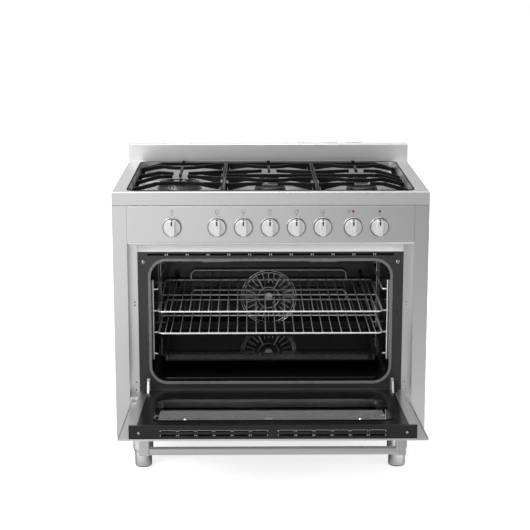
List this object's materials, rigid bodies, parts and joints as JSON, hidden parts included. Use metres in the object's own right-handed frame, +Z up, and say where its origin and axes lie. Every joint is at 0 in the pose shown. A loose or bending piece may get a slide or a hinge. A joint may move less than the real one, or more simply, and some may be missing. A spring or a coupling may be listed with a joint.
{
  "type": "freestanding gas range",
  "caption": "Wide stainless range with a gas hob under cast-iron grates, front knobs, a drop-down glazed oven door, wire racks, tray, oven fan and levelling feet.",
  "frame": {"origin": "centre of the bounding box's bottom face, on the floor, with the door let down", "axes": "+X to the right as seen from the front, +Y to the back, +Z up"},
  "size_m": [0.9, 1.082, 0.908],
  "materials": {
    "stainless": "horizontally brushed stainless steel",
    "chrome": "bright chrome plating",
    "knob": "satin metal-finished knob",
    "cast_iron": "matt black enamelled cast iron",
    "oven_enamel": "gloss black enamel",
    "frame_enamel": "dark grey enamel",
    "cap_enamel": "satin black enamel",
    "tray_enamel": "gloss black enamel",
    "burner_alloy": "die-cast aluminium",
    "galvanised": "dull zinc-coated steel",
    "valve_brass": "pressed brass",
    "pipe_steel": "plain steel tube",
    "hob_rubber": "black silicone",
    "seal": "grey heat-proof seal",
    "ceramic": "white glazed ceramic",
    "inner_glass": "clear tempered glass",
    "outer_glass": "grey tinted tempered glass",
    "lamp_glass": "frosted lamp glass",
    "lens": "red lens",
    "black_plastic": "matt black plastic"
  },
  "bodies": {
    "cabinet": {"side_panel_left": "stainless", "side_panel_right": "stainless", "hob_top": "stainless", "backguard": "stainless", "control_panel": "stainless", "lower_panel": "stainless", "knob_bezels": "chrome", "rack_guides": "chrome", "fan_guard": "chrome", "leg_sleeves": "chrome", "oven_liner": "oven_enamel", "oven_front_frame": "frame_enamel", "burner_caps": "cap_enamel", "burner_bodies": "burner_alloy", "back_panel": "galvanised", "base_pan": "galvanised", "hinge_receivers": "galvanised", "fan_motor": "galvanised", "gas_valves": "valve_brass", "gas_manifold": "pipe_steel", "grill_element": "pipe_steel", "hob_seal": "hob_rubber", "door_seal": "seal", "spark_electrodes": "ceramic", "oven_lamps": "lamp_glass", "indicator_lenses": "lens", "oven_switches": "black_plastic", "terminal_box": "black_plastic"},
    "door": {"door_skin": "stainless", "door_frame": "stainless", "door_inner_panel": "oven_enamel", "door_inner_glass": "inner_glass", "door_outer_glass": "outer_glass", "door_top_cap": "black_plastic", "door_handle": "stainless", "hinge_arms": "galvanised"},
    "burner_spindle_1": {"burner_spindle_1": "pipe_steel"},
    "burner_knob_1": {"burner_knob_1": "knob"},
    "burner_spindle_2": {"burner_spindle_2": "pipe_steel"},
    "burner_knob_2": {"burner_knob_2": "knob"},
    "burner_spindle_3": {"burner_spindle_3": "pipe_steel"},
    "burner_knob_3": {"burner_knob_3": "knob"},
    "burner_spindle_4": {"burner_spindle_4": "pipe_steel"},
    "burner_knob_4": {"burner_knob_4": "knob"},
    "burner_spindle_5": {"burner_spindle_5": "pipe_steel"},
    "burner_knob_5": {"burner_knob_5": "knob"},
    "timer_knob": {"timer_knob": "knob"},
    "function_knob": {"function_knob": "knob"},
    "thermostat_knob": {"thermostat_knob": "knob"},
    "rack_upper": {"rack_upper": "chrome"},
    "rack_lower": {"rack_lower": "chrome"},
    "oven_tray": {"oven_tray": "tray_enamel"},
    "grate_left": {"grate_left": "cast_iron"},
    "grate_centre": {"grate_centre": "cast_iron"},
    "grate_right": {"grate_right": "cast_iron"},
    "fan": {"fan_wheel": "galvanised"},
    "foot_front_left": {"foot_front_left": "chrome"},
    "foot_front_right": {"foot_front_right": "chrome"},
    "foot_rear_left": {"foot_rear_left": "chrome"},
    "foot_rear_right": {"foot_rear_right": "chrome"}
  },
  "joints": [
    {"name": "door_hinge", "type": "hinge", "parent": "cabinet", "child": "door", "pos_m": [0, -0.08602, 0.231], "axis": [-1, 0, 0], "range_deg": [0, 85]},
    {"name": "burner_turn_1", "type": "hinge", "parent": "cabinet", "child": "burner_spindle_1", "pos_m": [-0.1525, -0.10402, 0.744], "axis": [0, -1, 0], "range_deg": [0, 210]},
    {"name": "burner_push_1", "type": "slide", "parent": "burner_spindle_1", "child": "burner_knob_1", "axis": [0, 1, 0], "range_m": [0, 0.003], "stiffness_N_per_m": 1500, "springref_m": -0.001},
    {"name": "burner_turn_2", "type": "hinge", "parent": "cabinet", "child": "burner_spindle_2", "pos_m": [-0.0775, -0.10402, 0.744], "axis": [0, -1, 0], "range_deg": [0, 210]},
    {"name": "burner_push_2", "type": "slide", "parent": "burner_spindle_2", "child": "burner_knob_2", "axis": [0, 1, 0], "range_m": [0, 0.003], "stiffness_N_per_m": 1500, "springref_m": -0.001},
    {"name": "burner_turn_3", "type": "hinge", "parent": "cabinet", "child": "burner_spindle_3", "pos_m": [-0.0025, -0.10402, 0.744], "axis": [0, -1, 0], "range_deg": [0, 210]},
    {"name": "burner_push_3", "type": "slide", "parent": "burner_spindle_3", "child": "burner_knob_3", "axis": [0, 1, 0], "range_m": [0, 0.003], "stiffness_N_per_m": 1500, "springref_m": -0.001},
    {"name": "burner_turn_4", "type": "hinge", "parent": "cabinet", "child": "burner_spindle_4", "pos_m": [0.0725, -0.10402, 0.744], "axis": [0, -1, 0], "range_deg": [0, 210]},
    {"name": "burner_push_4", "type": "slide", "parent": "burner_spindle_4", "child": "burner_knob_4", "axis": [0, 1, 0], "range_m": [0, 0.003], "stiffness_N_per_m": 1500, "springref_m": -0.001},
    {"name": "burner_turn_5", "type": "hinge", "parent": "cabinet", "child": "burner_spindle_5", "pos_m": [0.1475, -0.10402, 0.744], "axis": [0, -1, 0], "range_deg": [0, 210]},
    {"name": "burner_push_5", "type": "slide", "parent": "burner_spindle_5", "child": "burner_knob_5", "axis": [0, 1, 0], "range_m": [0, 0.003], "stiffness_N_per_m": 1500, "springref_m": -0.001},
    {"name": "timer_turn", "type": "hinge", "parent": "cabinet", "child": "timer_knob", "pos_m": [-0.28, -0.10402, 0.744], "axis": [0, -1, 0], "range_deg": [0, 330]},
    {"name": "function_turn", "type": "hinge", "parent": "cabinet", "child": "function_knob", "pos_m": [0.2335, -0.10402, 0.744], "axis": [0, -1, 0], "range_deg": [0, 315]},
    {"name": "thermostat_turn", "type": "hinge", "parent": "cabinet", "child": "thermostat_knob", "pos_m": [0.3085, -0.10402, 0.744], "axis": [0, -1, 0], "range_deg": [0, 280]},
    {"name": "rack_upper_slide", "type": "slide", "parent": "cabinet", "child": "rack_upper", "axis": [0, 1, 0], "range_m": [-0.3, 0]},
    {"name": "rack_lower_slide", "type": "slide", "parent": "cabinet", "child": "rack_lower", "axis": [0, 1, 0], "range_m": [-0.3, 0]},
    {"name": "oven_tray_slide", "type": "slide", "parent": "cabinet", "child": "oven_tray", "axis": [0, 1, 0], "range_m": [-0.28, 0]},
    {"name": "grate_left_lift", "type": "slide", "parent": "cabinet", "child": "grate_left", "axis": [0, 0, 1], "range_m": [0, 0.08]},
    {"name": "grate_centre_lift", "type": "slide", "parent": "cabinet", "child": "grate_centre", "axis": [0, 0, 1], "range_m": [0, 0.08]},
    {"name": "grate_right_lift", "type": "slide", "parent": "cabinet", "child": "grate_right", "axis": [0, 0, 1], "range_m": [0, 0.08]},
    {"name": "fan_spin", "type": "hinge", "parent": "cabinet", "child": "fan", "pos_m": [0, 0.39598, 0.423], "axis": [0, -1, 0], "continuous": true},
    {"name": "foot_front_left_height", "type": "slide", "parent": "cabinet", "child": "foot_front_left", "axis": [0, 0, -1], "range_m": [0, 0.02]},
    {"name": "foot_front_right_height", "type": "slide", "parent": "cabinet", "child": "foot_front_right", "axis": [0, 0, -1], "range_m": [0, 0.02]},
    {"name": "foot_rear_left_height", "type": "slide", "parent": "cabinet", "child": "foot_rear_left", "axis": [0, 0, -1], "range_m": [0, 0.02]},
    {"name": "foot_rear_right_height", "type": "slide", "parent": "cabinet", "child": "foot_rear_right", "axis": [0, 0, -1], "range_m": [0, 0.02]}
  ]
}
